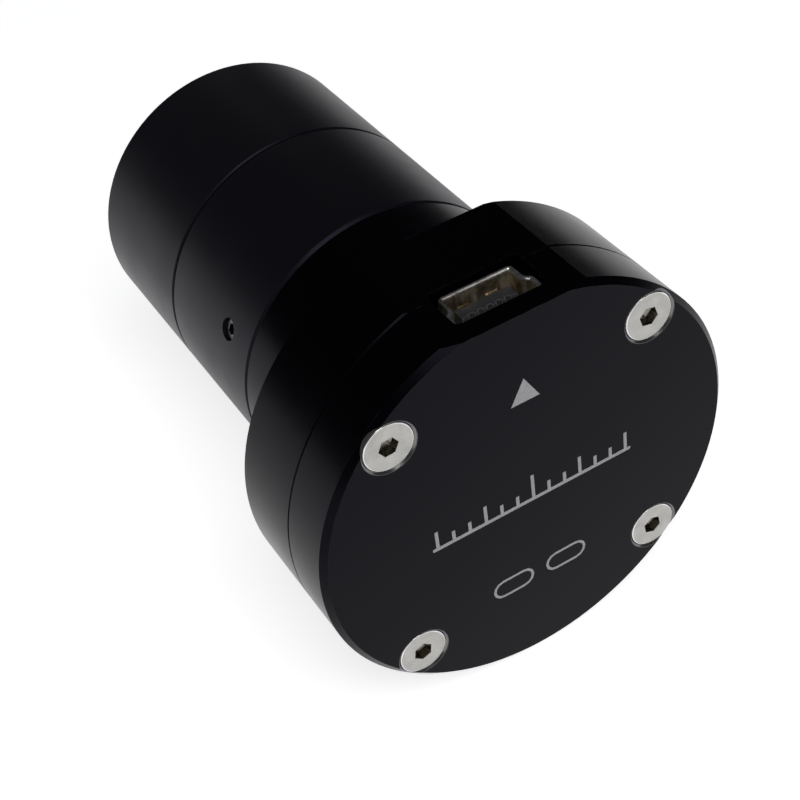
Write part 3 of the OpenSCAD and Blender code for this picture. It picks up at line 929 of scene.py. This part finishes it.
def board_outlines():
    """Printed frame around each of three parts, with no lettering."""
    line, sunk, printed = 0.12, 0.01, -0.02
    margins = {"flash_memory": 0.2, "clock_crystal": 0.3, "voltage_regulator": 0.25}

    def corners(low, high, grow):
        left, right, bottom, top = low.x - grow, high.x + grow, low.z - grow, high.z + grow
        return [(left, bottom), (right, bottom), (right, top), (left, top)]

    def outlines(bm):
        for node, margin in margins.items():
            low, high = node_box(node)
            outer, inner = corners(low, high, margin), corners(low, high, margin - line)
            outline_band(bm, outer, inner, BOARD_Y + sunk, BOARD_Y + printed)

    piece("board_outlines", "camera", [BOARD_INK], outlines)


def bond_wires():
    """Twelve gold wires on each side of the sensor die, looped down to the package floor."""
    die = node_box("sensor_die")[1]
    floor = node_box("sensor_package")[0].y + 0.5
    wires_per_side, pitch, fan = 12, 0.38, 1.05
    on_die, off_die, loop, wire_r, steps = 0.15, 0.38, 0.34, 0.025, 6

    def wires(bm):
        for side in (-1, 1):
            for i in range(wires_per_side):
                z = (i - (wires_per_side - 1) / 2) * pitch
                start = Vector((side * (die.x - on_die), die.y, z))
                end = Vector((side * (die.x + off_die), floor, z * fan))
                path = []
                for k in range(steps + 1):
                    lift = Vector((0, loop * math.sin(math.pi * k / steps), 0))
                    path.append(start.lerp(end, k / steps) + lift)
                tube(bm, path, wire_r, sides=6)

    piece("sensor_bond_wires", "camera", [GOLD], wires)


def rear_print():
    """Plain level scale printed on the rear face: a rule, its ticks and a pointer to the flat."""
    near, far = -0.012, 0.004
    rule_z, rule_length, rule_thick = -0.9, 19.0, 0.34
    tick_pitch, tick_half = 1.5, 0.15
    short, medium, tall = 1.1, 1.9, 2.6
    pointer_half, pointer_low, pointer_high = 1.3, 9.6, 11.9
    box_x, box_z, box_length, box_height, box_line = 2.6, -9.4, 4.0, 2.0, 0.5

    def marks(bm):
        slab(bm, pill(0, rule_z, rule_length, rule_thick), near, far)
        for i in range(-6, 7):
            height = tall if i == 0 else medium if i % 3 == 0 else short
            left, right, top = i * tick_pitch - tick_half, i * tick_pitch + tick_half, rule_z + height
            slab(bm, [(left, rule_z), (right, rule_z), (right, top), (left, top)], near - 0.002, far)
        slab(bm, [(-pointer_half, pointer_low), (pointer_half, pointer_low), (0, pointer_high)], near, far)
        for x in (-box_x, box_x):
            outer = pill(x, box_z, box_length, box_height)
            inner = pill(x, box_z, box_length - box_line, box_height - box_line)
            outline_band(bm, outer, inner, far, near)

    piece("rear_print", "camera", [FACE_INK], marks)


# ------------------------------------------------------- camera, floor, light

def direction(azimuth, elevation):
    """From the object towards a viewer at that azimuth and elevation, in degrees."""
    a, e = math.radians(azimuth), math.radians(elevation)
    return Vector((math.sin(a) * math.cos(e), -math.cos(a) * math.cos(e), math.sin(e)))


def add_camera():
    """The photo's view, as it was fitted to the outline of the object."""
    data = bpy.data.cameras.new("camera")
    data.lens = LENS
    data.sensor_width = SENSOR
    data.clip_start, data.clip_end = 1 * MM, 20.0
    camera = bpy.data.objects.new("camera", data)
    bpy.context.scene.collection.objects.link(camera)
    back = direction(VIEW_AZIMUTH, VIEW_ELEVATION)
    camera.location = (VIEW_TARGET + back * VIEW_DISTANCE) * MM
    camera.rotation_mode = "QUATERNION"
    level = (-back).to_track_quat("-Z", "Y")
    camera.rotation_quaternion = level @ Quaternion((0, 0, 1), math.radians(VIEW_ROLL))
    bpy.context.scene.camera = camera


def add_softbox(name, azimuth, elevation, distance, size, power):
    """Rectangular light that points at the object; distance and size are in metres."""
    data = bpy.data.lights.new(name, "AREA")
    data.shape = "RECTANGLE"
    data.size, data.size_y = size
    data.energy = power
    light = bpy.data.objects.new(name, data)
    bpy.context.scene.collection.objects.link(light)
    toward = direction(azimuth, elevation)
    light.location = toward * distance
    light.rotation_mode = "QUATERNION"
    light.rotation_quaternion = (-toward).to_track_quat("-Z", "Y")


def add_floor():
    """Pale floor that glows a little, so that it stays white around the camera."""
    half = 3.0
    z = CAD_BOX[0].z
    corners = [(-half, -half, z), (half, -half, z), (half, half, z), (-half, half, z)]
    mesh = bpy.data.meshes.new("floor")
    mesh.from_pydata(corners, [], [(0, 1, 2, 3)])
    floor = bpy.data.objects.new("floor", mesh)
    bpy.context.scene.collection.objects.link(floor)
    g = Graph("floor_white")
    g.set(
        Base_Color=(0.9, 0.9, 0.9, 1.0), Roughness=0.9, Specular_IOR_Level=0.0,
        Emission_Color=(1.0, 1.0, 1.0, 1.0), Emission_Strength=0.8,
    )
    mesh.materials.append(g.material)


def add_world():
    """Pale surroundings for the camera, a dim room for the light."""
    world = bpy.data.worlds.new("studio")
    bpy.context.scene.world = world
    world.use_nodes = True
    nodes, links = world.node_tree.nodes, world.node_tree.links
    dim = nodes["Background"]
    dim.inputs["Color"].default_value = (0.75, 0.8, 1.0, 1.0)
    dim.inputs["Strength"].default_value = 0.03
    pale = nodes.new("ShaderNodeBackground")
    pale.inputs["Color"].default_value = (1.0, 1.0, 1.0, 1.0)
    pale.inputs["Strength"].default_value = 0.83
    path = nodes.new("ShaderNodeLightPath")
    mix = nodes.new("ShaderNodeMixShader")
    links.new(path.outputs["Is Camera Ray"], mix.inputs["Fac"])
    links.new(dim.outputs["Background"], mix.inputs[1])
    links.new(pale.outputs["Background"], mix.inputs[2])
    links.new(mix.outputs["Shader"], nodes["World Output"].inputs["Surface"])


def add_lights():
    """Main light above and behind the head, and a weak strip in front of the lens."""
    add_softbox("key", azimuth=-10, elevation=58, distance=0.6, size=(0.30, 0.30), power=1.2)
    add_softbox("front", azimuth=172, elevation=4, distance=0.6, size=(0.25, 0.08), power=0.3)


add_camera()
add_floor()
add_world()
add_lights()
paint_nodes()
cover_screws()
lock_screw()
lens_cell()
usb_socket()
electronics()
board_tracks()
processor_pads()
board_outlines()
bond_wires()
rear_print()
bpy.context.scene.view_settings.view_transform = "Standard"
